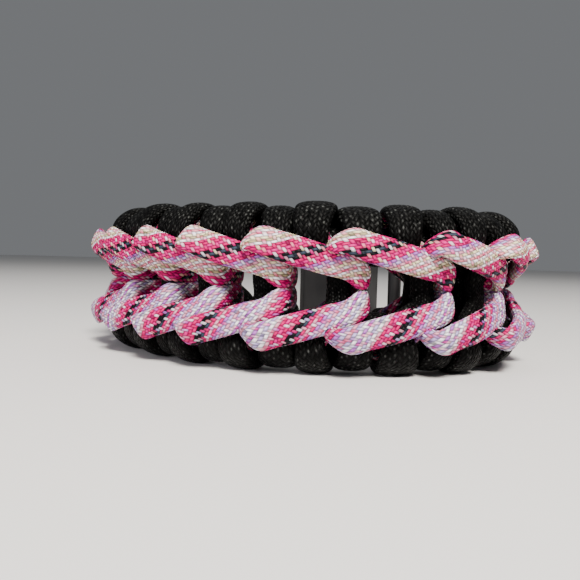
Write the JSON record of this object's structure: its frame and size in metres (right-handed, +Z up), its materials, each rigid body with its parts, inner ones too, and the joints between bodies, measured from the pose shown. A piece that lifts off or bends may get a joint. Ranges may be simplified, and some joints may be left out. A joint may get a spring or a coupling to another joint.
{
  "type": "woven cord bracelet",
  "caption": "Wrist bracelet woven from black and speckled cord: two wound bars joined by rungs, with nested V-shaped arms and a plain buckle at the back.",
  "frame": {"origin": "middle of the bracelet's underside as it lies on its edge", "axes": "+X along the loop's long axis, to the right when the shown front is seen; +Y from the shown front to the buckle; +Z up, across the band"},
  "size_m": [0.0898, 0.0632, 0.0278],
  "materials": {
    "core_cord": "woven, satin",
    "black_cord": "woven, satin",
    "patterned_cord": "woven, satin",
    "buckle_plastic": "matte"
  },
  "bodies": {
    "root": {"core_cord_upper": "core_cord", "core_cord_lower": "core_cord", "black_cord_near": "black_cord", "black_cord_far": "black_cord", "patterned_cord_upper": "patterned_cord", "patterned_cord_lower": "patterned_cord", "buckle": "buckle_plastic"}
  },
  "joints": []
}
